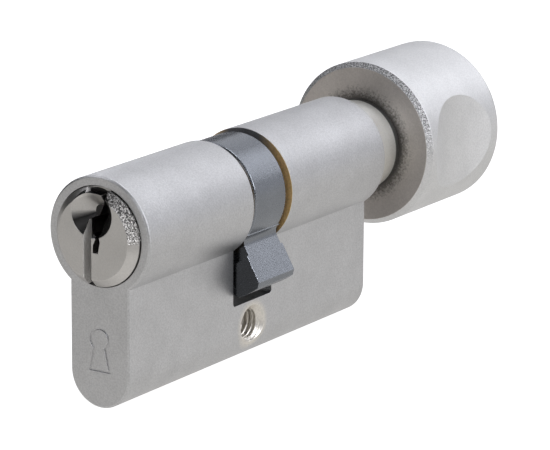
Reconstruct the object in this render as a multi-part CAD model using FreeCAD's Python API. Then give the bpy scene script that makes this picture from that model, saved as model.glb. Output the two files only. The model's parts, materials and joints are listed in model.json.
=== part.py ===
import FreeCAD, Part
import math
import os

from FreeCAD import Vector

# Euro profile cylinder, 30/30, with a key on one side and a thumb-turn knob on the other.
# Millimetres.  +Y runs along the barrel from the key side to the knob side and +Z is up.
# The origin is on the barrel axis at the middle of the cam slot.

# ---------------------------------------------------------------- driving dimensions
BARREL_RADIUS = 8.5
WEB_HALF_WIDTH = 5.0
OVERALL_HEIGHT = 33.0
HALF_LENGTH = 30.0
EDGE_BREAK = 0.25

SLOT_HALF_WIDTH = 4.9
SLOT_FLOOR_Z = -15.2
SLOT_CORNER_RADIUS = 0.5

PLUG_RADIUS = 6.5
BORE_CLEARANCE = 0.05
HEAD_RADIUS = 7.0
HEAD_GAP = 0.15
HEAD_SHOULDER_Y = -28.6
HEAD_EDGE_Y = -30.3
HEAD_CHAMFER = 1.15
KEY_STOP_X = (-1.6, 1.95)
KEY_STOP_Z = 6.15
KEY_STOP_FLOOR_Y = -29.6

JOURNAL_RADIUS = 5.6
JOURNAL_END = 2.0
CLIP_INNER_RADIUS = 5.05
CLIP_OUTER_RADIUS = 7.2
CLIP_THICKNESS = 0.5
CLIP_OUTER_FACE = 4.78
CLIP_GROOVE_RADIUS = 5.0

CAM_RING_RADIUS = 8.15
CAM_RING_HALF_WIDTH = 3.9
CAM_ROOT_HALF_WIDTH = 4.05
CAM_NOSE_HALF_WIDTH = 4.5
CAM_ROOT_RADIUS = 10.2
CAM_TIP_RADIUS = 14.85
CAM_NOSE_HALF_THICKNESS = 2.45
CAM_TIP_CHAMFER = 0.75
CAM_ROOT_FILLET = 1.2
CAM_NOSE_ANGLE = 30.0
CAM_WEB_HALF_WIDTH = 1.9

DOG_HALF_LENGTH = 4.3
DOG_HALF_WIDTH = 1.2
DOG_CLEARANCE = 0.05
COUPLER_FRONT_Y = -4.8
COUPLER_REAR_Y = -2.0
TONGUE_TIP_Y = 0.35
COUPLER_TRAVEL = 1.6
COUPLER_SPRING_BORE = 1.2
COUPLER_SPRING_SEAT_DEPTH = 1.3
COUPLER_SPRING_MEAN_RADIUS = 0.85
COUPLER_SPRING_WIRE_RADIUS = 0.12
COUPLER_SPRING_TURNS = 5

KNOB_RADIUS = 12.5
KNOB_FACE_Y = 36.4
KNOB_CHAMFER = 0.8
KNOB_END_Y = 56.6
KNOB_REAR_ROUND = 0.6
SCOOP_RADIUS = 16.0
SCOOP_DEPTH = 2.14
SCOOP_CENTRE_Y = 46.2
NECK_RADIUS = 6.9
NECK_START_Y = 30.1
STUB_RADIUS = 5.0
STUB_END_Y = 50.0
STUB_FLAT_DEPTH = 0.6
SET_SCREW_RADIUS = 2.0
SET_SCREW_LENGTH = 6.5
SET_SCREW_Y = 44.0
HEX_KEY_ACROSS_FLATS = 2.0

PIN_RADIUS = 1.45
CHAMBER_RADIUS = 1.5
CHAMBER_YS = [-25.0, -21.0, -17.0, -13.0, -9.0]
KEY_PIN_LENGTHS = [3.4, 4.2, 3.0, 4.5, 3.8]
KEY_PIN_FOOT_Z = -6.28
PLUG_CHAMBER_TOP_Z = -1.1
DRIVER_PIN_TOP_Z = -6.6
DRIVER_PIN_LENGTH = 5.0
PIN_TIP = 0.8
PIN_EDGE_BREAK = 0.15
CLOSURE_RADIUS = 1.6
CLOSURE_TOP_Z = -22.3
SPRING_MEAN_RADIUS = 1.1
SPRING_WIRE_RADIUS = 0.175
SPRING_TURNS = 9

SCREW_HOLE_Z = -18.9
THREAD_MINOR_RADIUS = 2.1
THREAD_MAJOR_RADIUS = 2.5
THREAD_PITCH = 0.8
SCREW_HOLE_COUNTERSINK = 2.95

# ---------------------------------------------------------------- sizes that follow
BOTTOM_Z = BARREL_RADIUS - OVERALL_HEIGHT
FOOT_CENTRE_Z = BOTTOM_Z + WEB_HALF_WIDTH
BORE_RADIUS = PLUG_RADIUS + BORE_CLEARANCE
CAM_BORE_RADIUS = JOURNAL_RADIUS + BORE_CLEARANCE
DOG_SLOT_HALF_LENGTH = DOG_HALF_LENGTH + 2 * DOG_CLEARANCE
DOG_SLOT_HALF_WIDTH = DOG_HALF_WIDTH + DOG_CLEARANCE

Y_AXIS = Vector(0, 1, 0)


# ---------------------------------------------------------------- building blocks
def cylinder_x(radius, x_low, x_high, y, z):
    return Part.makeCylinder(radius, x_high - x_low, Vector(x_low, y, z), Vector(1, 0, 0))


def cylinder_y(radius, y_low, y_high, x=0.0, z=0.0):
    return Part.makeCylinder(radius, y_high - y_low, Vector(x, y_low, z), Y_AXIS)


def cylinder_z(radius, z_low, z_high, x, y):
    return Part.makeCylinder(radius, z_high - z_low, Vector(x, y, z_low))


def block(x_low, x_high, y_low, y_high, z_low, z_high):
    corner = Vector(x_low, y_low, z_low)
    return Part.makeBox(x_high - x_low, y_high - y_low, z_high - z_low, corner)


def prism(points, travel):
    """Extrude the closed polygon through points by the vector travel."""
    outline = Part.makePolygon(points + points[:1])
    return Part.Face(outline).extrude(travel)


def prism_along_y(outline_xz, y_low, y_high):
    points = [Vector(x, y_low, z) for x, z in outline_xz]
    return prism(points, Vector(0, y_high - y_low, 0))


def turned_y(outline_ry, z_axis=0.0):
    """Turn the closed outline of (radius, y) points about the line x=0, z=z_axis."""
    points = [Vector(radius, y, z_axis) for radius, y in outline_ry]
    face = Part.Face(Part.makePolygon(points + points[:1]))
    return face.revolve(Vector(0, 0, z_axis), Y_AXIS, 360)


def turned_z(outline_rz, x, y):
    points = [Vector(x + radius, y, z) for radius, z in outline_rz]
    face = Part.Face(Part.makePolygon(points + points[:1]))
    return face.revolve(Vector(x, y, 0), Vector(0, 0, 1), 360)


def bevelled_bar(radius, y_low, y_high, bevel):
    """Outline of a round bar with a 45 degree bevel at both ends, for turned_y."""
    return [
        (0, y_low),
        (radius - bevel, y_low),
        (radius, y_low + bevel),
        (radius, y_high - bevel),
        (radius - bevel, y_high),
        (0, y_high),
    ]


def fused(shapes):
    return shapes[0].fuse(shapes[1:]).removeSplitter()


def coil_spring(mean_radius, wire_radius, length, turns):
    """Coil spring of round wire along +Z, standing on z=0 and reaching z=length.

    Each half turn is half a ring, tilted so that it rises from one side of the coil to the
    other and meets the next half turn face to face.  The first and last turns are closed up.
    """
    closed_rise = 1.1 * wire_radius
    open_rise = (length - 2 * wire_radius - 4 * closed_rise) / (2 * turns - 4)
    half_turns = []
    side = 1
    z = wire_radius
    for number in range(2 * turns):
        is_end_turn = number < 2 or number >= 2 * turns - 2
        rise = closed_rise if is_end_turn else open_rise
        start = Vector(side * mean_radius, 0, z)
        centre = Vector(0, 0, z + rise / 2)
        turning_axis = (start - centre).cross(Y_AXIS) * side
        wire_section = Part.Face(Part.Wire(Part.makeCircle(wire_radius, start, Y_AXIS)))
        half_turns.append(wire_section.revolve(centre, turning_axis, 180))
        side = -side
        z += rise
    return half_turns[0].fuse(half_turns[1:])


# ---------------------------------------------------------------- housing
def profile_body(y_low, y_high):
    """The euro profile: round barrel, narrow web and round foot, with broken end edges."""
    barrel = turned_y(bevelled_bar(BARREL_RADIUS, y_low, y_high, EDGE_BREAK))
    foot = turned_y(bevelled_bar(WEB_HALF_WIDTH, y_low, y_high, EDGE_BREAK), FOOT_CENTRE_Z)
    inner_x = WEB_HALF_WIDTH - EDGE_BREAK
    outline = [
        (inner_x, y_low),
        (WEB_HALF_WIDTH, y_low + EDGE_BREAK),
        (WEB_HALF_WIDTH, y_high - EDGE_BREAK),
        (inner_x, y_high),
        (-inner_x, y_high),
        (-WEB_HALF_WIDTH, y_high - EDGE_BREAK),
        (-WEB_HALF_WIDTH, y_low + EDGE_BREAK),
        (-inner_x, y_low),
    ]
    points = [Vector(x, y, FOOT_CENTRE_Z) for x, y in outline]
    web = prism(points, Vector(0, 0, -FOOT_CENTRE_Z))
    return fused([barrel, foot, web])


def cam_slot():
    high = BARREL_RADIUS + 1
    reach = BARREL_RADIUS + 1
    slot = block(-reach, reach, -SLOT_HALF_WIDTH, SLOT_HALF_WIDTH, SLOT_FLOOR_Z, high)
    floor_edges = []
    for edge in slot.Edges:
        centre = edge.CenterOfMass
        if abs(centre.z - SLOT_FLOOR_Z) < 1e-6 and abs(centre.x) < 1e-6:
            floor_edges.append(edge)
    return slot.makeFillet(SLOT_CORNER_RADIUS, floor_edges)


def screw_thread_groove(half_length):
    """One V groove winding round the X axis, long enough to pass both ends of the hole."""
    overlap = 0.05
    groove_half_width = 0.3
    root_half_width = 0.05
    length = 2 * half_length
    helix = Part.makeHelix(THREAD_PITCH, length, THREAD_MINOR_RADIUS)
    inner = THREAD_MINOR_RADIUS - overlap
    section = Part.makePolygon([
        Vector(inner, 0, -groove_half_width),
        Vector(THREAD_MAJOR_RADIUS, 0, -root_half_width),
        Vector(THREAD_MAJOR_RADIUS, 0, root_half_width),
        Vector(inner, 0, groove_half_width),
        Vector(inner, 0, -groove_half_width),
    ])
    groove = Part.Wire(helix.Edges).makePipeShell([section], True, True)
    groove.translate(Vector(0, 0, -half_length))
    groove.rotate(Vector(0, 0, 0), Y_AXIS, 90)
    groove.translate(Vector(0, 0, SCREW_HOLE_Z))
    return groove


def screw_hole_cutters():
    """The tapping drill's bore, with a countersink at each mouth."""
    beyond = 0.5
    end = WEB_HALF_WIDTH + beyond
    cutters = [cylinder_x(THREAD_MINOR_RADIUS, -end, end, 0, SCREW_HOLE_Z)]
    depth = SCREW_HOLE_COUNTERSINK - THREAD_MINOR_RADIUS
    for side in (-1, 1):
        mouth = Vector(side * WEB_HALF_WIDTH, 0, SCREW_HOLE_Z)
        inward = Vector(-side, 0, 0)
        cutters.append(Part.makeCone(SCREW_HOLE_COUNTERSINK, THREAD_MINOR_RADIUS, depth,
                                     mouth, inward))
    return cutters


def with_thread_in_quarters(body):
    """The same solid, with the thread's long spiral faces divided at every quarter turn."""
    margin = 0.45
    reach_x = WEB_HALF_WIDTH + 1
    reach = SCREW_HOLE_COUNTERSINK + margin
    quarters = []
    for y_low in (-reach, 0):
        for z_low in (SCREW_HOLE_Z - reach, SCREW_HOLE_Z):
            corner = block(-reach_x, reach_x, y_low, y_low + reach, z_low, z_low + reach)
            quarters.append(body.common(corner))
    middle = block(-reach_x, reach_x, -reach, reach, SCREW_HOLE_Z - reach, SCREW_HOLE_Z + reach)
    return body.cut(middle).fuse(quarters)


def keyhole_mark():
    """A plain keyhole outline engraved in the foot end of the web, 0.15 deep."""
    depth = 0.15
    stroke = 0.38
    eye_radius = 1.35
    eye_z = -14.6
    skirt_top_z = eye_z - 0.7
    skirt_foot_z = eye_z - 4.3
    skirt_top_half = 0.62
    skirt_foot_half = 1.45
    front = -HALF_LENGTH

    def keyhole(grow):
        eye = cylinder_y(eye_radius + grow, front - 1, front + depth, 0, eye_z)
        skirt = prism_along_y([
            (-skirt_top_half - grow, skirt_top_z),
            (skirt_top_half + grow, skirt_top_z),
            (skirt_foot_half + grow, skirt_foot_z - grow),
            (-skirt_foot_half - grow, skirt_foot_z - grow),
        ], front - 1, front + depth)
        return fused([eye, skirt])

    return keyhole(stroke).cut(keyhole(0.0))


def make_housing():
    body = profile_body(-HALF_LENGTH, HALF_LENGTH)
    beyond = 1.0
    cutters = [
        cylinder_y(BORE_RADIUS, -HALF_LENGTH - beyond, HALF_LENGTH + beyond),
        cylinder_y(HEAD_RADIUS + HEAD_GAP, -HALF_LENGTH - beyond, HEAD_SHOULDER_Y + 0.05),
        cam_slot(),
    ]
    for y in CHAMBER_YS:
        cutters.append(cylinder_z(CHAMBER_RADIUS, CLOSURE_TOP_Z - beyond, -BORE_RADIUS / 2, 0, y))
        cutters.append(cylinder_z(CLOSURE_RADIUS, BOTTOM_Z - beyond, CLOSURE_TOP_Z, 0, y))
    cutters += screw_hole_cutters()
    body = body.cut(cutters)
    body = body.cut(screw_thread_groove(WEB_HALF_WIDTH + 1))
    return with_thread_in_quarters(body).cut(keyhole_mark())


def make_closure(y):
    """Brass plug pressed into the foot of one pin chamber, finished flush with the foot."""
    slug = cylinder_z(CLOSURE_RADIUS, BOTTOM_Z - 1, CLOSURE_TOP_Z, 0, y)
    return slug.common(cylinder_y(WEB_HALF_WIDTH, y - 3, y + 3, 0, FOOT_CENTRE_Z))


# ---------------------------------------------------------------- key side
def keyway_outline():
    """Keyway seen from the key side: (x, z) from the back of the key down to the blade edge."""
    return [
        (1.15, 6.40),
        (1.95, 6.40),
        (1.90, 4.85),
        (1.97, 3.45),
        (1.48, 3.35),
        (0.97, 2.07),
        (1.21, 0.87),
        (1.05, 0.30),
        (1.22, -0.35),
        (0.87, -2.00),
        (-0.05, -2.00),
        (0.00, -0.90),
        (0.42, -0.05),
        (0.30, 0.32),
        (-0.25, 0.60),
        (-0.25, -8.00),
        (-1.60, -8.00),
        (-1.60, 2.25),
        (-0.50, 2.75),
        (0.12, 4.10),
        (1.10, 5.05),
    ]


def make_key_plug():
    face_y = HEAD_EDGE_Y - HEAD_CHAMFER
    plug = turned_y([
        (0, face_y),
        (HEAD_RADIUS - HEAD_CHAMFER, face_y),
        (HEAD_RADIUS, HEAD_EDGE_Y),
        (HEAD_RADIUS, HEAD_SHOULDER_Y),
        (PLUG_RADIUS, HEAD_SHOULDER_Y),
        (PLUG_RADIUS, -SLOT_HALF_WIDTH - 0.05),
        (JOURNAL_RADIUS, -SLOT_HALF_WIDTH - 0.05),
        (JOURNAL_RADIUS, -JOURNAL_END),
        (0, -JOURNAL_END),
    ])
    dish_centre = Vector(-0.2, face_y, 3.45)
    dish_radius = 3.45
    dish_depth = 2.3
    dish_floor_radius = 0.9
    dish = Part.makeCone(dish_radius, dish_floor_radius, dish_depth, dish_centre, Y_AXIS)
    # notch in the rim of the head that the shoulder of the key comes to rest in
    key_stop = block(*KEY_STOP_X, face_y - 1, KEY_STOP_FLOOR_Y, KEY_STOP_Z, HEAD_RADIUS + 1)
    pocket_floor_y = COUPLER_FRONT_Y - DOG_CLEARANCE
    cutters = [
        dish,
        key_stop,
        prism_along_y(keyway_outline(), face_y - 1, pocket_floor_y),
        block(-DOG_SLOT_HALF_LENGTH, DOG_SLOT_HALF_LENGTH, pocket_floor_y, 0,
              -DOG_SLOT_HALF_WIDTH, DOG_SLOT_HALF_WIDTH),
        clip_groove(-1),
    ]
    for y in CHAMBER_YS:
        cutters.append(cylinder_z(CHAMBER_RADIUS, -PLUG_RADIUS - 1, PLUG_CHAMBER_TOP_Z, 0, y))
    return plug.cut(cutters)


def make_key_pin(y, length):
    top = KEY_PIN_FOOT_Z + length
    return turned_z([
        (0, KEY_PIN_FOOT_Z),
        (PIN_RADIUS - PIN_EDGE_BREAK, KEY_PIN_FOOT_Z),
        (PIN_RADIUS, KEY_PIN_FOOT_Z + PIN_EDGE_BREAK),
        (PIN_RADIUS, top - PIN_TIP),
        (PIN_RADIUS - PIN_TIP, top),
        (0, top),
    ], 0, y)


def make_driver_pin(y):
    foot = DRIVER_PIN_TOP_Z - DRIVER_PIN_LENGTH
    return turned_z([
        (0, foot),
        (PIN_RADIUS - PIN_EDGE_BREAK, foot),
        (PIN_RADIUS, foot + PIN_EDGE_BREAK),
        (PIN_RADIUS, DRIVER_PIN_TOP_Z - PIN_EDGE_BREAK),
        (PIN_RADIUS - PIN_EDGE_BREAK, DRIVER_PIN_TOP_Z),
        (0, DRIVER_PIN_TOP_Z),
    ], 0, y)


def make_pin_spring(y):
    length = DRIVER_PIN_TOP_Z - DRIVER_PIN_LENGTH - CLOSURE_TOP_Z
    spring = coil_spring(SPRING_MEAN_RADIUS, SPRING_WIRE_RADIUS, length, SPRING_TURNS)
    spring.translate(Vector(0, y, CLOSURE_TOP_Z))
    return spring


# ---------------------------------------------------------------- cam and clutch
def clip_groove(side):
    """Groove for a retaining clip: side is -1 on the key plug and +1 on the knob spindle."""
    play = 0.02
    outer = CLIP_OUTER_FACE + play
    inner = CLIP_OUTER_FACE - CLIP_THICKNESS - play
    low, high = sorted((side * outer, side * inner))
    ring = cylinder_y(JOURNAL_RADIUS + 1, low, high)
    return ring.cut(cylinder_y(CLIP_GROOVE_RADIUS, low, high))


def make_clip(side):
    """Open retaining ring that snaps into the groove from the side."""
    low, high = sorted((side * CLIP_OUTER_FACE, side * (CLIP_OUTER_FACE - CLIP_THICKNESS)))
    ring = cylinder_y(CLIP_OUTER_RADIUS, low, high)
    mouth_half = 4.2
    mouth = block(-mouth_half, mouth_half, low - 1, high + 1, 0, CLIP_OUTER_RADIUS + 1)
    ring = ring.cut([cylinder_y(CLIP_INNER_RADIUS, low, high), mouth])
    tip_radius = (CLIP_OUTER_RADIUS - CLIP_INNER_RADIUS) / 2
    tip_x = CLIP_INNER_RADIUS + tip_radius
    tips = [cylinder_y(tip_radius, low, high, end * tip_x, 0) for end in (-1, 1)]
    return fused([ring] + tips)


def nose_outline(inner, outer):
    """Nose cross-section pointing straight down, from the radius inner to beyond outer."""
    half = CAM_NOSE_HALF_THICKNESS
    return [(-half, -inner), (half, -inner), (half, -outer), (-half, -outer)]


def nose_root():
    """Neck of the nose, flared into the ring by a concave fillet on each flank."""
    half = CAM_NOSE_HALF_THICKNESS
    fillet = CAM_ROOT_FILLET
    # centre of the fillet circle: outside the flank and outside the ring by one fillet radius
    centre_x = half + fillet
    centre_z = -math.sqrt((CAM_RING_RADIUS + fillet) ** 2 - centre_x ** 2)
    neck = prism_along_y([
        (-centre_x, -JOURNAL_RADIUS - 1),
        (centre_x, -JOURNAL_RADIUS - 1),
        (centre_x, centre_z),
        (half, centre_z),
        (half, -CAM_ROOT_RADIUS),
        (-half, -CAM_ROOT_RADIUS),
        (-half, centre_z),
        (-centre_x, centre_z),
    ], -CAM_ROOT_HALF_WIDTH, CAM_ROOT_HALF_WIDTH)
    scoops = [cylinder_y(fillet, -CAM_ROOT_HALF_WIDTH, CAM_ROOT_HALF_WIDTH, side * centre_x, centre_z)
              for side in (-1, 1)]
    inside = cylinder_y(CAM_RING_RADIUS - EDGE_BREAK, -CAM_ROOT_HALF_WIDTH, CAM_ROOT_HALF_WIDTH)
    return neck.cut(scoops).cut(inside)


def make_cam():
    ring = turned_y([
        (CAM_BORE_RADIUS, -CAM_RING_HALF_WIDTH),
        (CAM_RING_RADIUS - EDGE_BREAK, -CAM_RING_HALF_WIDTH),
        (CAM_RING_RADIUS, -CAM_RING_HALF_WIDTH + EDGE_BREAK),
        (CAM_RING_RADIUS, CAM_RING_HALF_WIDTH - EDGE_BREAK),
        (CAM_RING_RADIUS - EDGE_BREAK, CAM_RING_HALF_WIDTH),
        (CAM_BORE_RADIUS, CAM_RING_HALF_WIDTH),
    ])
    web = cylinder_y(CAM_BORE_RADIUS, -CAM_WEB_HALF_WIDTH, CAM_WEB_HALF_WIDTH)

    inner = JOURNAL_RADIUS + 1
    nose = prism_along_y(nose_outline(inner, CAM_TIP_RADIUS + 1),
                         -CAM_NOSE_HALF_WIDTH, CAM_NOSE_HALF_WIDTH)
    half = CAM_NOSE_HALF_THICKNESS
    tip_low = -CAM_TIP_RADIUS
    chamfer = CAM_TIP_CHAMFER
    for side in (-1, 1):
        corner = prism_along_y([
            (side * (half + 1), tip_low - 1),
            (side * (half - chamfer - 1), tip_low - 1),
            (side * (half - chamfer), tip_low),
            (side * half, tip_low + chamfer),
            (side * (half + 1), tip_low + chamfer + 1),
        ], -CAM_NOSE_HALF_WIDTH - 1, CAM_NOSE_HALF_WIDTH + 1)
        nose = nose.cut(corner)
    nose = nose.common(cylinder_y(CAM_TIP_RADIUS, -CAM_NOSE_HALF_WIDTH, CAM_NOSE_HALF_WIDTH))
    for side in (-1, 1):
        low, high = sorted((side * CAM_ROOT_HALF_WIDTH, side * (CAM_NOSE_HALF_WIDTH + 1)))
        nose = nose.cut(cylinder_y(CAM_ROOT_RADIUS, low, high))
    nose = nose.cut(cylinder_y(CAM_RING_RADIUS - EDGE_BREAK, -CAM_NOSE_HALF_WIDTH,
                               CAM_NOSE_HALF_WIDTH))
    cam = fused([ring, web, nose_root(), nose])
    cam.rotate(Vector(0, 0, 0), Y_AXIS, -CAM_NOSE_ANGLE)

    slot_depth_y = COUPLER_REAR_Y + COUPLER_TRAVEL + DOG_CLEARANCE
    front_slot = block(-DOG_SLOT_HALF_LENGTH, DOG_SLOT_HALF_LENGTH, -CAM_WEB_HALF_WIDTH - 0.1,
                       slot_depth_y, -DOG_SLOT_HALF_WIDTH, DOG_SLOT_HALF_WIDTH)
    rear_slot = block(-DOG_SLOT_HALF_WIDTH, DOG_SLOT_HALF_WIDTH, TONGUE_TIP_Y - DOG_CLEARANCE,
                      CAM_WEB_HALF_WIDTH + 0.1, -DOG_SLOT_HALF_LENGTH, DOG_SLOT_HALF_LENGTH)
    spring_hole = cylinder_y(COUPLER_SPRING_BORE, -CAM_WEB_HALF_WIDTH, CAM_WEB_HALF_WIDTH)
    return cam.cut([front_slot, rear_slot, spring_hole])


def make_coupler():
    """Sliding dog: lies in the key plug and is pushed into the cam by the tip of the key."""
    dog = block(-DOG_HALF_LENGTH, DOG_HALF_LENGTH, COUPLER_FRONT_Y, COUPLER_REAR_Y,
                -DOG_HALF_WIDTH, DOG_HALF_WIDTH)
    upright_edges = [edge for edge in dog.Edges
                     if abs(abs(edge.CenterOfMass.x) - DOG_HALF_LENGTH) < 1e-6
                     and abs(edge.CenterOfMass.z) < 1e-6]
    dog = dog.makeChamfer(EDGE_BREAK, upright_edges)
    boss = cylinder_y(DOG_SLOT_HALF_WIDTH, COUPLER_FRONT_Y, COUPLER_REAR_Y)
    dog = dog.fuse(boss.common(dog))
    seat = cylinder_y(COUPLER_SPRING_BORE - DOG_CLEARANCE * 2,
                      COUPLER_REAR_Y - COUPLER_SPRING_SEAT_DEPTH, COUPLER_REAR_Y)
    return dog.cut(seat)


def make_coupler_spring():
    seat_y = COUPLER_REAR_Y - COUPLER_SPRING_SEAT_DEPTH
    spring = coil_spring(COUPLER_SPRING_MEAN_RADIUS, COUPLER_SPRING_WIRE_RADIUS,
                         TONGUE_TIP_Y - seat_y, COUPLER_SPRING_TURNS)
    spring.rotate(Vector(0, 0, 0), Vector(1, 0, 0), -90)
    spring.translate(Vector(0, seat_y, 0))
    return spring


# ---------------------------------------------------------------- knob side
def make_knob_spindle():
    """Core of the knob side: cam tongue, journal, body, neck and the stub inside the knob."""
    core = turned_y([
        (0, JOURNAL_END),
        (JOURNAL_RADIUS, JOURNAL_END),
        (JOURNAL_RADIUS, SLOT_HALF_WIDTH + 0.05),
        (PLUG_RADIUS, SLOT_HALF_WIDTH + 0.05),
        (PLUG_RADIUS, NECK_START_Y),
        (NECK_RADIUS - EDGE_BREAK, NECK_START_Y),
        (NECK_RADIUS, NECK_START_Y + EDGE_BREAK),
        (NECK_RADIUS, KNOB_FACE_Y),
        (STUB_RADIUS, KNOB_FACE_Y),
        (STUB_RADIUS, STUB_END_Y - EDGE_BREAK),
        (STUB_RADIUS - EDGE_BREAK, STUB_END_Y),
        (0, STUB_END_Y),
    ])
    tongue = block(-DOG_HALF_WIDTH, DOG_HALF_WIDTH, TONGUE_TIP_Y, JOURNAL_END + 1,
                   -DOG_HALF_LENGTH, DOG_HALF_LENGTH)
    flat_z = -STUB_RADIUS + STUB_FLAT_DEPTH
    flat = block(-STUB_RADIUS, STUB_RADIUS, SET_SCREW_Y - 3, SET_SCREW_Y + 3,
                 -STUB_RADIUS - 1, flat_z)
    return fused([core, tongue]).cut([flat, clip_groove(1)])


def make_knob():
    knob = turned_y([
        (0, KNOB_FACE_Y),
        (KNOB_RADIUS - KNOB_CHAMFER, KNOB_FACE_Y),
        (KNOB_RADIUS, KNOB_FACE_Y + KNOB_CHAMFER),
        (KNOB_RADIUS, KNOB_END_Y),
        (0, KNOB_END_Y),
    ])
    rear_edges = [edge for edge in knob.Edges
                  if abs(edge.CenterOfMass.y - KNOB_END_Y) < 1e-6
                  and edge.BoundBox.XLength > 2 * KNOB_RADIUS - 1e-3]
    knob = knob.makeFillet(KNOB_REAR_ROUND, rear_edges)
    cutters = []
    for side in (-1, 1):
        scoop_x = side * (KNOB_RADIUS - SCOOP_DEPTH + SCOOP_RADIUS)
        cutters.append(cylinder_z(SCOOP_RADIUS, -KNOB_RADIUS, KNOB_RADIUS, scoop_x, SCOOP_CENTRE_Y))
    play = 0.02
    drill_tip = 2.5
    bore_end = STUB_END_Y + 0.5
    cutters.append(turned_y([
        (0, KNOB_FACE_Y - 1),
        (STUB_RADIUS + play, KNOB_FACE_Y - 1),
        (STUB_RADIUS + play, bore_end),
        (0, bore_end + drill_tip),
    ]))
    cutters.append(cylinder_z(SET_SCREW_RADIUS, -KNOB_RADIUS - 1, 0, 0, SET_SCREW_Y))
    return knob.cut(cutters)


def make_knob_set_screw():
    """Grub screw with a hexagon socket, clamping the knob to the flat on the spindle."""
    point_z = -STUB_RADIUS + STUB_FLAT_DEPTH
    head_z = point_z - SET_SCREW_LENGTH
    body = turned_z([
        (0, head_z),
        (SET_SCREW_RADIUS - EDGE_BREAK, head_z),
        (SET_SCREW_RADIUS, head_z + EDGE_BREAK),
        (SET_SCREW_RADIUS, point_z - 3 * EDGE_BREAK),
        (SET_SCREW_RADIUS - 3 * EDGE_BREAK, point_z),
        (0, point_z),
    ], 0, SET_SCREW_Y)
    corner_radius = HEX_KEY_ACROSS_FLATS / math.sqrt(3)
    corners = []
    for step in range(6):
        angle = math.radians(60 * step)
        corners.append(Vector(corner_radius * math.cos(angle),
                              SET_SCREW_Y + corner_radius * math.sin(angle), head_z - 1))
    socket_depth = 2.0
    return body.cut(prism(corners, Vector(0, 0, 1 + socket_depth)))


# ---------------------------------------------------------------- assembly
def all_parts():
    parts = {
        "housing": make_housing(),
        "key_plug": make_key_plug(),
        "key_plug_clip": make_clip(-1),
        "cam": make_cam(),
        "coupler": make_coupler(),
        "coupler_spring": make_coupler_spring(),
        "knob_spindle": make_knob_spindle(),
        "knob_spindle_clip": make_clip(1),
        "knob": make_knob(),
        "knob_set_screw": make_knob_set_screw(),
    }
    for number, y in enumerate(CHAMBER_YS, start=1):
        parts[f"key_pin_{number}"] = make_key_pin(y, KEY_PIN_LENGTHS[number - 1])
        parts[f"driver_pin_{number}"] = make_driver_pin(y)
        parts[f"pin_spring_{number}"] = make_pin_spring(y)
        parts[f"chamber_plug_{number}"] = make_closure(y)
    return parts


def main():
    os.makedirs("parts", exist_ok=True)
    for name, shape in all_parts().items():
        if not shape.isValid() or len(shape.Solids) != 1:
            raise RuntimeError(f"{name}: valid {shape.isValid()}, solids {len(shape.Solids)}")
        shape.Solids[0].exportStep(f"parts/{name}.step")
        box = shape.BoundBox
        print(f"{name:20s} {shape.Volume:9.2f} mm3  x {box.XMin:.2f}..{box.XMax:.2f}"
              f"  y {box.YMin:.2f}..{box.YMax:.2f}  z {box.ZMin:.2f}..{box.ZMax:.2f}")


main()
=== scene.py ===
import json
import math

import bpy
from mathutils import Euler, Matrix, Vector


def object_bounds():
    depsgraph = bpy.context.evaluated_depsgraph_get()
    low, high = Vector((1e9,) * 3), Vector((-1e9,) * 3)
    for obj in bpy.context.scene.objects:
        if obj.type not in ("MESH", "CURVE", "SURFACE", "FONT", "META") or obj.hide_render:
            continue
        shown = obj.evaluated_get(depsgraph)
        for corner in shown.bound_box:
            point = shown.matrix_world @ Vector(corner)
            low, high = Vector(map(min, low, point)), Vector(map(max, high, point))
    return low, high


# Looks of the euro cylinder: metres, in the row frame.  +Y runs from the key side to the
# knob side and +Z is up.

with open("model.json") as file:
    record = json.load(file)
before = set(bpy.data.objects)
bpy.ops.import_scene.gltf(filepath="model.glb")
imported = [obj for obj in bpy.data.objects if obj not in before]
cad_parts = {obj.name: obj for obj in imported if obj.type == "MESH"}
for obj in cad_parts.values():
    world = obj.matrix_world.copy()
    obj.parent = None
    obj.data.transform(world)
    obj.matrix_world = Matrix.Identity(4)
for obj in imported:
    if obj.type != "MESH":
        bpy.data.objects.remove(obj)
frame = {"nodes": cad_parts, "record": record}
cad_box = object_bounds()

# ---------------------------------------------------------------- camera and stage
CAMERA_AIM = Vector((0.00689, 0.00287, -0.00444))
CAMERA_AZIMUTH = math.radians(33.73)
CAMERA_ELEVATION = math.radians(14.85)
CAMERA_ROLL = math.radians(0.36)
CAMERA_DISTANCE = 0.497
CAMERA_LENS = 227.25
SENSOR_WIDTH = 36.0

FLOOR_SIZE = 6.0
FLOOR_GLOW = 1.0
TABLE_SIZE = 1.2
TABLE_GLOW = 0.64

LAMP_DISTANCE = 0.8
LAMP_SIZE = 0.42
# name, azimuth and elevation in degrees (azimuth 0 is in front of the key side), watts
LAMPS = [
    ("right_lamp", 90.0, 28.0, 3.8),
    ("top_lamp", 164.0, 72.0, 2.9),
    ("left_lamp", 234.0, 28.0, 1.1),
    ("front_lamp", 18.0, 28.0, 1.0),
    ("back_lamp", 162.0, 28.0, 0.86),
    ("back_left_lamp", 198.0, 28.0, 0.43),
    ("low_right_lamp", 108.0, 6.0, 0.47),
    ("low_back_lamp", 144.0, 6.0, 0.37),
    ("front_left_lamp", 295.0, 52.0, 0.9),
]

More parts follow.
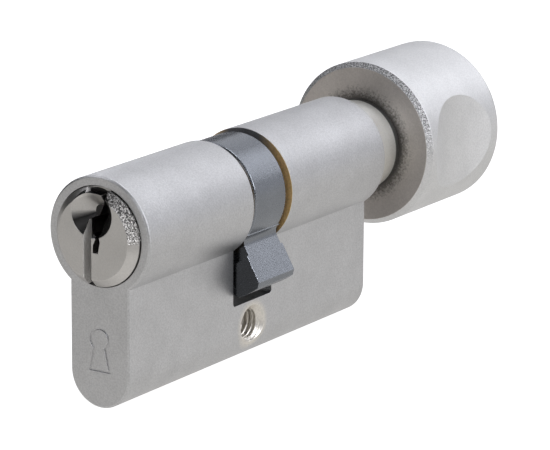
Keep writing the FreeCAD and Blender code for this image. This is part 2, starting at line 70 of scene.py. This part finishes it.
# ---------------------------------------------------------------- colours (linear)
NICKEL = (0.61, 0.61, 0.615)
KNOB_NICKEL = (0.76, 0.76, 0.76)
KNOB_FACE_NICKEL = (0.70, 0.655, 0.62)
# painted highlight: the cream that lightens the rim of the screw hole
CREAM_HIGHLIGHT = (0.84, 0.80, 0.73)
PLUG_NICKEL = (0.58, 0.565, 0.545)
# painted light: a lit copy of the nickel, brightened near to white, for the spindle's neck
NECK_LIT_NICKEL = (0.98, 0.98, 0.93)
CAM_STEEL = (0.25, 0.265, 0.29)
DARK_STEEL = (0.16, 0.16, 0.17)
SPRING_STEEL = (0.50, 0.50, 0.51)
BRASS = (0.62, 0.44, 0.20)
SLOT_BRASS = (0.95, 0.68, 0.34)
# painted shade: the grey that darkens the brass slot walls towards their top and bottom
SLOT_SHADE_GREY = (0.25, 0.25, 0.26)
COOL_LIGHT = (0.94, 0.95, 1.0)
WARM_LIGHT = (1.0, 0.985, 0.965)

MM = 0.001

# where the marked areas of the parts lie, in metres
BARREL_AXIS = (0.0, 0.0, 0.0)
SLOT_HALF_WIDTH = 4.95 * MM
SLOT_WALL_Y = (4.5 * MM, 5.2 * MM)
SLOT_FLOOR_Z = -15.15 * MM
WEB_TOP_Z = -7.5 * MM
# where the painted shade on the slot walls gives way to brass
BRASS_FADE_X = (2.5 * MM, 6.0 * MM)
# radii of the painted highlight round the screw hole
SCREW_HOLE_HIGHLIGHT = (2.9 * MM, 3.9 * MM)
PLUG_FACE_Y = -31.45 * MM
PLUG_FACE_RADIUS = 5.86 * MM
DISH_CENTRE = (-0.2 * MM, 0.0, 3.45 * MM)
DISH_RADIUS = 3.4 * MM
DISH_LIP = 0.03 * MM
# depth from the plug face of the rough keyway flank that is also painted lighter
BROACHED_LIT_DEPTH = 2.0 * MM
KEYWAY_LEFT_X = -1.6 * MM
SCREW_HOLE_CENTRE = (0.0, 0.0, -18.9 * MM)
KNOB_CHAMFER_Y = (36.43 * MM, 37.15 * MM)
NECK_RADIUS = 6.9 * MM
# where the painted shade lies on the neck and on the knob's front face
NECK_SHADE_Y = 35.5 * MM
FACE_SHADE_RADII = (NECK_RADIUS + 0.4 * MM, NECK_RADIUS + 2.0 * MM)
FACE_SHADE_RAGGED = 0.7 * MM
# multipliers that leave out the direction a line runs in
ALONG_X = (0.0, 1.0, 1.0)
ALONG_Y = (1.0, 0.0, 1.0)


# ---------------------------------------------------------------- node helpers
class Shader:
    """A material's node tree, with short calls that add nodes and join them."""

    def __init__(self, name):
        self.material = bpy.data.materials.new(name)
        self.material.use_nodes = True
        self.tree = self.material.node_tree
        self.tree.nodes.clear()
        self.output = self.tree.nodes.new("ShaderNodeOutputMaterial")
        self.principled = self.tree.nodes.new("ShaderNodeBsdfPrincipled")
        self.join(self.principled.outputs["BSDF"], self.output.inputs["Surface"])
        self.place = self.tree.nodes.new("ShaderNodeTexCoord").outputs["Object"]
        surface = self.tree.nodes.new("ShaderNodeNewGeometry")
        self.facing = surface.outputs["True Normal"]
        self.smooth_facing = surface.outputs["Normal"]

    def join(self, source, target):
        self.tree.links.new(source, target)

    def put(self, socket, value):
        """Join an output to the socket, or set the socket to a plain value."""
        if isinstance(value, bpy.types.NodeSocket):
            self.join(value, socket)
        else:
            socket.default_value = value

    def noise(self, scale, detail=3.0, roughness=0.5):
        node = self.tree.nodes.new("ShaderNodeTexNoise")
        self.join(self.place, node.inputs["Vector"])
        node.inputs["Scale"].default_value = scale
        node.inputs["Detail"].default_value = detail
        node.inputs["Roughness"].default_value = roughness
        return node.outputs["Fac"]

    def ramp(self, value, low, high, out_low=0.0, out_high=1.0):
        """Linear map of value from low..high to out_low..out_high, held at both ends."""
        node = self.tree.nodes.new("ShaderNodeMapRange")
        self.put(node.inputs["Value"], value)
        node.inputs["From Min"].default_value = low
        node.inputs["From Max"].default_value = high
        node.inputs["To Min"].default_value = out_low
        self.put(node.inputs["To Max"], out_high)
        return node.outputs["Result"]

    def maths(self, operation, *values):
        node = self.tree.nodes.new("ShaderNodeMath")
        node.operation = operation
        for socket, value in zip(node.inputs, values):
            self.put(socket, value)
        return node.outputs["Value"]

    def product(self, *values):
        total = values[0]
        for value in values[1:]:
            total = self.maths("MULTIPLY", total, value)
        return total

    def above(self, value, limit):
        return self.maths("GREATER_THAN", value, limit)

    def below(self, value, limit):
        return self.maths("LESS_THAN", value, limit)

    def where(self, mask, value):
        """1 outside the mask and the value inside it."""
        return self.ramp(mask, 0.0, 1.0, 1.0, value)

    def spread(self, noise, low, high):
        """Noise mapped so that most of it runs from low to high."""
        return self.ramp(noise, 0.3, 0.7, low, high)

    def within(self, value, low, high):
        """1 where the value lies between the numbers low and high, 0 elsewhere."""
        return self.maths("COMPARE", value, (low + high) / 2, (high - low) / 2)

    def axis(self, vector, name):
        node = self.tree.nodes.new("ShaderNodeSeparateXYZ")
        self.join(vector, node.inputs["Vector"])
        return node.outputs[name]

    def size_along(self, vector, name):
        return self.maths("ABSOLUTE", self.axis(vector, name))

    def distance_from_line(self, centre, across):
        """Distance from the line through centre; across is 0 on the axis the line follows."""
        flat = self.tree.nodes.new("ShaderNodeVectorMath")
        flat.operation = "MULTIPLY"
        self.join(self.place, flat.inputs[0])
        flat.inputs[1].default_value = across
        gap = self.tree.nodes.new("ShaderNodeVectorMath")
        gap.operation = "DISTANCE"
        self.join(flat.outputs["Vector"], gap.inputs[0])
        gap.inputs[1].default_value = centre
        return gap.outputs["Value"]

    def mix(self, share, a, b):
        node = self.tree.nodes.new("ShaderNodeMix")
        node.data_type = "RGBA"
        self.put(node.inputs["Factor"], share)
        self.put(node.inputs["A"], a if isinstance(a, bpy.types.NodeSocket) else (*a, 1.0))
        self.put(node.inputs["B"], b if isinstance(b, bpy.types.NodeSocket) else (*b, 1.0))
        return node.outputs["Result"]

    def scaled(self, colour, factor):
        node = self.tree.nodes.new("ShaderNodeVectorMath")
        node.operation = "SCALE"
        self.put(node.inputs[0], colour)
        self.put(node.inputs["Scale"], factor)
        return node.outputs["Vector"]

    def rounded(self, radius):
        """Surface direction with every sharp edge rounded off by the radius."""
        node = self.tree.nodes.new("ShaderNodeBevel")
        node.samples = 6
        node.inputs["Radius"].default_value = radius
        return node.outputs["Normal"]

    def edge(self, rounded_normal):
        """1 on a sharp edge, falling to 0 on the flat beside it."""
        node = self.tree.nodes.new("ShaderNodeVectorMath")
        node.operation = "DOT_PRODUCT"
        self.join(rounded_normal, node.inputs[0])
        self.join(self.smooth_facing, node.inputs[1])
        return self.ramp(node.outputs["Value"], 0.85, 0.99, 1.0, 0.0)

    def bump(self, height, strength, distance, under):
        node = self.tree.nodes.new("ShaderNodeBump")
        self.put(node.inputs["Strength"], strength)
        node.inputs["Distance"].default_value = distance
        self.join(height, node.inputs["Height"])
        self.join(under, node.inputs["Normal"])
        return node.outputs["Normal"]

    def finish(self, colour, roughness, normal, metallic=1.0):
        sockets = self.principled.inputs
        self.put(sockets["Base Color"], colour)
        self.put(sockets["Roughness"], roughness)
        self.put(sockets["Metallic"], metallic)
        self.join(normal, sockets["Normal"])
        return self.material


# ---------------------------------------------------------------- materials
EDGE_ROUNDING = 0.12 * MM
GRAIN_SCALE = 5200.0
FLECK_SCALE = 0.8 * GRAIN_SCALE
CLOUD_SCALE = 220.0


def blasted(shader, grain_height, fleck, strength=1.0, edge_highlight=1.3):
    """Fine blasted grain: the tone factor (with a painted highlight along every sharp edge),
    the grain itself and the bumped normal.
    """
    grain = shader.noise(GRAIN_SCALE, detail=2.0, roughness=0.6)
    flecks = shader.noise(FLECK_SCALE, detail=1.0)
    cloud = shader.noise(CLOUD_SCALE)
    rounded = shader.rounded(EDGE_ROUNDING)
    # The edge factor lightens every sharp edge: a painted highlight.
    tone = shader.product(shader.spread(flecks, 1.0 - fleck, 1.0 + fleck),
                          shader.spread(cloud, 0.96, 1.04),
                          shader.where(shader.edge(rounded), edge_highlight))
    normal = shader.bump(grain, strength, grain_height, rounded)
    return tone, grain, normal


def painted_glints(shader, coarse, scale, darkest, brightest):
    """Painted glints: a tone factor that swings dark and bright from fleck to fleck on the
    coarse areas.
    """
    swing = shader.ramp(shader.noise(scale, detail=2.0), 0.42, 0.60, darkest, brightest)
    return shader.maths("ADD", 1.0, shader.product(coarse, swing))


def satin_metal(name, colour, roughness, grain_height, fleck=0.05):
    """Plated metal with a fine grain and a faint cloudy tone."""
    shader = Shader(name)
    tone, grain, normal = blasted(shader, grain_height, fleck)
    rough = shader.spread(grain, roughness - 0.05, roughness + 0.05)
    return shader.finish(shader.scaled(colour, tone), rough, normal)


def housing_metal():
    """Satin nickel outside, bare brass on the walls of the cam slot with painted shade towards
    their top and bottom, a painted highlight round the screw hole and painted shadow on the
    slot floor.
    """
    shader = Shader("housing_metal")
    tone, grain, normal = blasted(shader, 0.03 * MM, 0.09)
    height = shader.axis(shader.place, "Z")
    at_wall = shader.within(shader.size_along(shader.place, "Y"), *SLOT_WALL_Y)
    wall = shader.above(shader.size_along(shader.facing, "Y"), 0.7)
    in_barrel = shader.above(height, WEB_TOP_Z)
    bare = shader.product(at_wall, wall, in_barrel)
    # Painted shade: the brass walls turn grey towards their top and bottom, where x is small.
    side = shader.ramp(shader.size_along(shader.place, "X"), *BRASS_FADE_X)
    wall_colour = shader.mix(side, SLOT_SHADE_GREY, SLOT_BRASS)
    # Painted highlight: a cream ring round the rim of the screw hole.
    from_hole = shader.distance_from_line(SCREW_HOLE_CENTRE, ALONG_X)
    rim_highlight = shader.ramp(from_hole, *SCREW_HOLE_HIGHLIGHT, 0.85, 0.0)
    colour = shader.mix(bare, shader.mix(rim_highlight, NICKEL, CREAM_HIGHLIGHT), wall_colour)
    along = shader.axis(shader.place, "Y")
    in_slot = shader.within(along, -SLOT_HALF_WIDTH, SLOT_HALF_WIDTH)
    floor_level = shader.within(height, SLOT_FLOOR_Z - 0.1 * MM, SLOT_FLOOR_Z + 0.6 * MM)
    upward = shader.above(shader.axis(shader.facing, "Z"), 0.3)
    # Painted shadow on the upward-facing floor of the cam slot.
    shadowed_floor = shader.product(in_slot, floor_level, upward)
    shade = shader.where(shadowed_floor, 0.35)
    rough = shader.maths("ADD", shader.spread(grain, 0.36, 0.46),
                         shader.product(bare, 0.25))
    return shader.finish(shader.scaled(colour, shader.product(tone, shade)), rough, normal)


def plug_metal():
    """Satin nickel face, coarse chamfer with painted glints, painted shade on its top and a
    painted highlight below, painted shade in the dish and a rough keyway flank, left by
    broaching, painted lighter.
    """
    shader = Shader("plug_metal")
    along = shader.axis(shader.place, "Y")
    across_facing = shader.axis(shader.smooth_facing, "X")
    up_facing = shader.axis(shader.smooth_facing, "Z")

    off_axis = shader.distance_from_line(BARREL_AXIS, ALONG_Y)
    on_chamfer = shader.above(off_axis, PLUG_FACE_RADIUS)
    rightward = shader.ramp(across_facing, 0.0, 0.15)
    coarse = shader.product(on_chamfer, rightward, shader.ramp(up_facing, -0.05, 0.15))
    strength = shader.ramp(coarse, 0.0, 1.0, 0.1, 1.0)
    tone, grain, normal = blasted(shader, 0.3 * MM, 0.04, strength)
    # Painted shade on the upward-facing chamfer and a painted highlight on its downward-facing
    # right side.
    painted_top_shade = shader.ramp(up_facing, 0.35, 0.65, 1.0, 0.45)
    lit_underside = shader.product(on_chamfer, rightward, shader.ramp(up_facing, -0.05, -0.2))
    painted_glint_and_shade = shader.product(painted_glints(shader, coarse, 4600.0, -0.75, 0.6),
                             shader.where(coarse, painted_top_shade), shader.where(lit_underside, 1.2))

    # Painted shade in the dish, darkest on surfaces that face up or to the left.
    in_dish = shader.product(
        shader.below(shader.distance_from_line(DISH_CENTRE, ALONG_Y), DISH_RADIUS),
        shader.above(along, PLUG_FACE_Y + DISH_LIP))
    lean = shader.maths("SUBTRACT", shader.product(across_facing, 0.5), up_facing)
    dish_lean_shade = shader.ramp(lean, 0.05, 0.35, 0.93, 0.0)
    dish_shade = shader.maths("SUBTRACT", 1.0, shader.product(in_dish, dish_lean_shade))

    # The keyway's left flank near the face is rough and less metallic, and is also painted 1.4
    # times lighter as painted light on a wall deep in the slot.
    left_flank = shader.product(
        shader.above(across_facing, 0.9),
        shader.below(shader.axis(shader.place, "X"), KEYWAY_LEFT_X + 0.1 * MM))
    near_face = shader.below(along, PLUG_FACE_Y + BROACHED_LIT_DEPTH)
    broached_lit_flank = shader.product(left_flank, near_face)
    metallic = shader.where(broached_lit_flank, 0.2)
    rough = shader.maths("ADD", shader.spread(grain, 0.30, 0.40),
                         shader.product(broached_lit_flank, 0.3))
    flank_painted_light = shader.where(broached_lit_flank, 1.4)
    colour = shader.scaled(PLUG_NICKEL, shader.product(tone, dish_shade, painted_glint_and_shade, flank_painted_light))
    return shader.finish(colour, rough, normal, metallic)


def cam_metal():
    """Sintered steel, with painted shade on the two flat ends and a strong painted highlight
    along its edges.
    """
    shader = Shader("cam_metal")
    # Strong painted highlight along the edges, and painted shade on the two flat ends.
    tone, grain, normal = blasted(shader, 0.014 * MM, 0.06, edge_highlight=2.6)
    shaded_ends = shader.above(shader.size_along(shader.facing, "Y"), 0.95)
    shade = shader.where(shaded_ends, 0.35)
    rough = shader.spread(grain, 0.23, 0.31)
    return shader.finish(shader.scaled(CAM_STEEL, shader.product(tone, shade)), rough, normal)


def spindle_metal():
    """Satin neck in a lit, near-white copy of the nickel, with painted shade in the corner
    where it meets the knob.
    """
    shader = Shader("spindle_metal")
    tone, grain, normal = blasted(shader, 0.004 * MM, 0.05)
    along = shader.axis(shader.place, "Y")
    # Painted shade: a dark band on the neck next to the knob.
    shade = shader.ramp(along, NECK_SHADE_Y - 0.1 * MM, NECK_SHADE_Y + 0.1 * MM, 1.0, 0.22)
    rough = shader.spread(grain, 0.40, 0.50)
    return shader.finish(shader.scaled(NECK_LIT_NICKEL, shader.product(tone, shade)), rough, normal)


def knob_metal():
    """Blasted nickel, with painted glints and painted shade on the chamfer's top, and a turned
    front face with painted shade that deepens towards the neck.
    """
    shader = Shader("knob_metal")
    along = shader.axis(shader.place, "Y")
    up_facing = shader.axis(shader.smooth_facing, "Z")
    on_chamfer = shader.within(along, *KNOB_CHAMFER_Y)
    coarse = shader.product(on_chamfer, shader.ramp(up_facing, -0.1, 0.25))
    strength = shader.ramp(coarse, 0.0, 1.0, 0.15, 1.0)
    tone, grain, normal = blasted(shader, 0.15 * MM, 0.06, strength)
    # Painted shade on the upward-facing part of the chamfer, with painted glints.
    top = shader.product(on_chamfer, shader.ramp(up_facing, 0.0, 0.6))
    painted_glint_and_shade = shader.product(painted_glints(shader, coarse, 5600.0, -0.6, 0.35),
                             shader.where(top, 0.55))

    # Painted shade over the front face, deepest near the neck, with a ragged edge.
    front_face = shader.below(along, KNOB_CHAMFER_Y[0])
    from_axis = shader.distance_from_line(BARREL_AXIS, ALONG_Y)
    wander = shader.spread(shader.noise(3500.0), -FACE_SHADE_RAGGED, FACE_SHADE_RAGGED)
    ragged = shader.maths("ADD", from_axis, wander)
    face_shade = shader.ramp(ragged, *FACE_SHADE_RADII, 0.28, 0.80)
    shade = shader.where(front_face, face_shade)
    colour = shader.mix(front_face, KNOB_NICKEL, KNOB_FACE_NICKEL)
    rough = shader.spread(grain, 0.41, 0.51)
    return shader.finish(shader.scaled(colour, shader.product(tone, painted_glint_and_shade, shade)), rough,
                         normal)


MATERIALS = {
    "satin_nickel": housing_metal(),
    "plug_nickel": plug_metal(),
    "knob_nickel": knob_metal(),
    "polished_nickel": spindle_metal(),
    "cam_steel": cam_metal(),
    "dark_steel": satin_metal("dark_metal", DARK_STEEL, 0.45, 0.010 * MM),
    "spring_steel": satin_metal("spring_metal", SPRING_STEEL, 0.25, 0.002 * MM),
    "pin_brass": satin_metal("pin_brass_metal", BRASS, 0.25, 0.003 * MM),
    "pin_steel": satin_metal("pin_steel_metal", SPRING_STEEL, 0.28, 0.003 * MM),
}


def paint_nodes():
    """Give every CAD node the material that the record names for it."""
    for part in frame["record"]["subparts"]:
        materials = frame["nodes"][part["node"]].data.materials
        materials.clear()
        materials.append(MATERIALS[part["material_slot"]])


# ---------------------------------------------------------------- stage, light and camera
def glowing_plane(name, size, glow, paleness, tint):
    """A level square at the foot of the object that gives off its own light."""
    bpy.ops.mesh.primitive_plane_add(size=size, location=(0, 0, cad_box[0][2]))
    plane = bpy.context.object
    plane.name = name
    material = bpy.data.materials.new(name + "_white")
    material.use_nodes = True
    sockets = material.node_tree.nodes["Principled BSDF"].inputs
    sockets["Base Color"].default_value = (paleness, paleness, paleness, 1.0)
    sockets["Roughness"].default_value = 0.9
    sockets["Emission Color"].default_value = (*tint, 1.0)
    sockets["Emission Strength"].default_value = glow
    plane.data.materials.append(material)
    return plane


def make_floor():
    """A pale floor for the camera, and a smaller lit table top that the metal reflects."""
    floor = glowing_plane("floor", FLOOR_SIZE, FLOOR_GLOW, 0.3, (1.0, 1.0, 1.0))
    floor.visible_glossy = False
    floor.visible_diffuse = False
    table = glowing_plane("lit_table", TABLE_SIZE, TABLE_GLOW, 0.0, WARM_LIGHT)
    table.visible_camera = False
    table.location.z -= 1.0 * MM


def make_lamp(name, azimuth, elevation, power):
    """A square soft box that looks at the object from the azimuth and elevation."""
    turn = math.radians(azimuth)
    lift = math.radians(elevation)
    away = Vector((math.sin(turn) * math.cos(lift), -math.cos(turn) * math.cos(lift),
                   math.sin(lift)))
    light = bpy.data.lights.new(name, "AREA")
    light.shape = "SQUARE"
    light.size = LAMP_SIZE
    light.energy = power
    light.color = COOL_LIGHT
    lamp = bpy.data.objects.new(name, light)
    lamp.location = away * LAMP_DISTANCE
    lamp.rotation_euler = away.to_track_quat("Z", "Y").to_euler()
    bpy.context.scene.collection.objects.link(lamp)


def make_lights():
    world = bpy.data.worlds.new("studio")
    world.use_nodes = True
    background = world.node_tree.nodes["Background"]
    background.inputs["Color"].default_value = (1.0, 1.0, 1.0, 1.0)
    background.inputs["Strength"].default_value = 0.02
    bpy.context.scene.world = world
    for name, azimuth, elevation, power in LAMPS:
        make_lamp(name, azimuth, elevation, power)


def make_camera():
    camera_data = bpy.data.cameras.new("camera")
    camera_data.lens = CAMERA_LENS
    camera_data.sensor_width = SENSOR_WIDTH
    camera_data.sensor_fit = "HORIZONTAL"
    camera = bpy.data.objects.new("camera", camera_data)
    bpy.context.scene.collection.objects.link(camera)
    tilt = Euler((math.pi / 2 - CAMERA_ELEVATION, 0.0, CAMERA_AZIMUTH)).to_matrix().to_4x4()
    roll = Matrix.Rotation(CAMERA_ROLL, 4, "Z")
    back = Matrix.Translation((0.0, 0.0, CAMERA_DISTANCE))
    camera.matrix_world = Matrix.Translation(CAMERA_AIM) @ tilt @ roll @ back
    bpy.context.scene.camera = camera


paint_nodes()
make_floor()
make_lights()
make_camera()
bpy.context.scene.view_settings.view_transform = "Standard"
